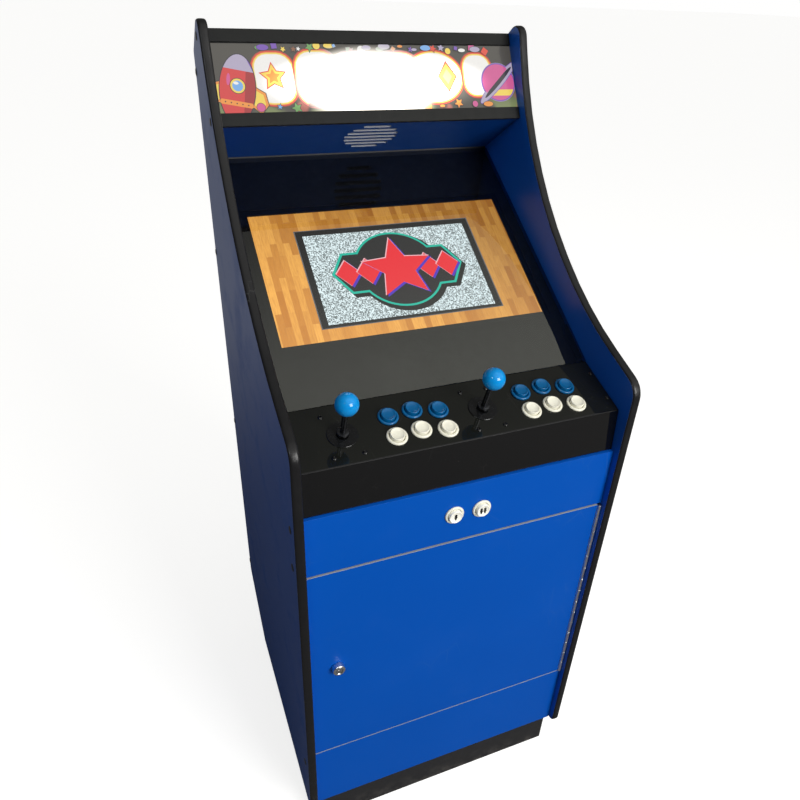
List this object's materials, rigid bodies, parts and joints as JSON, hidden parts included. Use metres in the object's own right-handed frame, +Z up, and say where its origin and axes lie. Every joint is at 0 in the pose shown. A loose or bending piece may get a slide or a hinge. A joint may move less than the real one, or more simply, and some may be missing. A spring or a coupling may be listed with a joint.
{
  "type": "arcade cabinet",
  "caption": "Upright two-player arcade cabinet with joysticks, push buttons, a sloping glazed screen, a lit header, a speaker grille and a lockable front door.",
  "frame": {"origin": "centre of the footprint, on the floor", "axes": "+Z up; the front with the controls faces -Y; +X is the right-hand side for someone standing in front and looking along +Y"},
  "size_m": [0.57, 0.572, 1.4378],
  "materials": {
    "blue_laminate": "satin blue laminate over MDF",
    "black_board": "black painted MDF",
    "back_board": "black faced hardboard",
    "edge_molding": "black vinyl edge strip with a soft shine",
    "hinge_steel": "plated steel",
    "lock_chrome": "chrome plated",
    "black_steel": "gloss black folded sheet",
    "tinted_glass": "smoked glass over the screen",
    "monitor_plastic": "matt black moulding",
    "speaker_steel": "pressed basket and magnet",
    "marquee_acrylic": "back-lit printed acrylic",
    "retainer_metal": "satin black strip",
    "stick_black_steel": "black plated steel",
    "washer_plastic": "black nylon",
    "gimbal_steel": "turned steel",
    "ball_plastic": "polished sky blue ball",
    "button_blue": "glossy blue moulding",
    "button_white": "glossy warm white moulding"
  },
  "bodies": {
    "cabinet": {"side_panel_left": "blue_laminate", "side_panel_right": "blue_laminate", "t_molding_left": "edge_molding", "t_molding_right": "edge_molding", "plinth": "black_board", "lower_front_panel": "blue_laminate", "start_panel": "blue_laminate", "hinge_leaf_fixed": "hinge_steel", "control_panel": "black_steel", "screen_glass": "tinted_glass", "monitor": "monitor_plastic", "speaker_panel": "blue_laminate", "speaker": "speaker_steel", "marquee_panel": "marquee_acrylic", "marquee_retainer_bottom": "retainer_metal", "marquee_retainer_top": "retainer_metal", "top_panel": "blue_laminate", "back_panel": "back_board", "stick_base_p1": "stick_black_steel", "stick_washer_p1": "washer_plastic", "stick_base_p2": "stick_black_steel", "stick_washer_p2": "washer_plastic", "housing_p1_top_1": "button_blue", "housing_p1_top_2": "button_blue", "housing_p1_top_3": "button_blue", "housing_p1_low_1": "button_white", "housing_p1_low_2": "button_white", "housing_p1_low_3": "button_white", "housing_p2_top_1": "button_blue", "housing_p2_top_2": "button_blue", "housing_p2_top_3": "button_blue", "housing_p2_low_1": "button_white", "housing_p2_low_2": "button_white", "housing_p2_low_3": "button_white", "housing_start_1": "button_white", "housing_start_2": "button_white"},
    "front_door": {"front_door": "blue_laminate", "hinge_leaf_door": "hinge_steel", "lock_barrel": "lock_chrome"},
    "lock_cam": {"lock_cam": "lock_chrome"},
    "gimbal_p1": {"stick_gimbal_p1": "gimbal_steel"},
    "stick_p1": {"stick_shaft_p1": "stick_black_steel", "stick_ball_p1": "ball_plastic"},
    "gimbal_p2": {"stick_gimbal_p2": "gimbal_steel"},
    "stick_p2": {"stick_shaft_p2": "stick_black_steel", "stick_ball_p2": "ball_plastic"},
    "button_p1_top_1": {"button_p1_top_1": "button_blue"},
    "button_p1_top_2": {"button_p1_top_2": "button_blue"},
    "button_p1_top_3": {"button_p1_top_3": "button_blue"},
    "button_p1_low_1": {"button_p1_low_1": "button_white"},
    "button_p1_low_2": {"button_p1_low_2": "button_white"},
    "button_p1_low_3": {"button_p1_low_3": "button_white"},
    "button_p2_top_1": {"button_p2_top_1": "button_blue"},
    "button_p2_top_2": {"button_p2_top_2": "button_blue"},
    "button_p2_top_3": {"button_p2_top_3": "button_blue"},
    "button_p2_low_1": {"button_p2_low_1": "button_white"},
    "button_p2_low_2": {"button_p2_low_2": "button_white"},
    "button_p2_low_3": {"button_p2_low_3": "button_white"},
    "button_start_1": {"button_start_1": "button_white"},
    "button_start_2": {"button_start_2": "button_white"}
  },
  "joints": [
    {"name": "door_hinge", "type": "hinge", "parent": "cabinet", "child": "front_door", "pos_m": [0.2666, -0.2725, 0.48875], "axis": [0, 0, 1], "range_deg": [0, 105]},
    {"name": "lock_turn", "type": "hinge", "parent": "front_door", "child": "lock_cam", "pos_m": [-0.221, -0.271, 0.493], "axis": [0, -1, 0], "range_deg": [0, 90]},
    {"name": "stick_fore_aft_p1", "type": "hinge", "parent": "cabinet", "child": "gimbal_p1", "pos_m": [-0.1898, -0.20634, 0.91421], "axis": [1, 0, 0], "range_deg": [-9, 9]},
    {"name": "stick_side_p1", "type": "hinge", "parent": "gimbal_p1", "child": "stick_p1", "pos_m": [-0.1898, -0.20634, 0.91421], "axis": [0, 0.9444, 0.3289], "range_deg": [-9, 9]},
    {"name": "stick_fore_aft_p2", "type": "hinge", "parent": "cabinet", "child": "gimbal_p2", "pos_m": [0.0407, -0.20634, 0.91421], "axis": [1, 0, 0], "range_deg": [-9, 9]},
    {"name": "stick_side_p2", "type": "hinge", "parent": "gimbal_p2", "child": "stick_p2", "pos_m": [0.0407, -0.20634, 0.91421], "axis": [0, 0.9444, 0.3289], "range_deg": [-9, 9]},
    {"name": "press_p1_top_1", "type": "slide", "parent": "cabinet", "child": "button_p1_top_1", "axis": [0, 0.3289, -0.9444], "range_m": [0, 0.003]},
    {"name": "press_p1_top_2", "type": "slide", "parent": "cabinet", "child": "button_p1_top_2", "axis": [0, 0.3289, -0.9444], "range_m": [0, 0.003]},
    {"name": "press_p1_top_3", "type": "slide", "parent": "cabinet", "child": "button_p1_top_3", "axis": [0, 0.3289, -0.9444], "range_m": [0, 0.003]},
    {"name": "press_p1_low_1", "type": "slide", "parent": "cabinet", "child": "button_p1_low_1", "axis": [0, 0.3289, -0.9444], "range_m": [0, 0.003]},
    {"name": "press_p1_low_2", "type": "slide", "parent": "cabinet", "child": "button_p1_low_2", "axis": [0, 0.3289, -0.9444], "range_m": [0, 0.003]},
    {"name": "press_p1_low_3", "type": "slide", "parent": "cabinet", "child": "button_p1_low_3", "axis": [0, 0.3289, -0.9444], "range_m": [0, 0.003]},
    {"name": "press_p2_top_1", "type": "slide", "parent": "cabinet", "child": "button_p2_top_1", "axis": [0, 0.3289, -0.9444], "range_m": [0, 0.003]},
    {"name": "press_p2_top_2", "type": "slide", "parent": "cabinet", "child": "button_p2_top_2", "axis": [0, 0.3289, -0.9444], "range_m": [0, 0.003]},
    {"name": "press_p2_top_3", "type": "slide", "parent": "cabinet", "child": "button_p2_top_3", "axis": [0, 0.3289, -0.9444], "range_m": [0, 0.003]},
    {"name": "press_p2_low_1", "type": "slide", "parent": "cabinet", "child": "button_p2_low_1", "axis": [0, 0.3289, -0.9444], "range_m": [0, 0.003]},
    {"name": "press_p2_low_2", "type": "slide", "parent": "cabinet", "child": "button_p2_low_2", "axis": [0, 0.3289, -0.9444], "range_m": [0, 0.003]},
    {"name": "press_p2_low_3", "type": "slide", "parent": "cabinet", "child": "button_p2_low_3", "axis": [0, 0.3289, -0.9444], "range_m": [0, 0.003]},
    {"name": "press_start_1", "type": "slide", "parent": "cabinet", "child": "button_start_1", "axis": [0, 1, 0], "range_m": [0, 0.003]},
    {"name": "press_start_2", "type": "slide", "parent": "cabinet", "child": "button_start_2", "axis": [0, 1, 0], "range_m": [0, 0.003]}
  ]
}
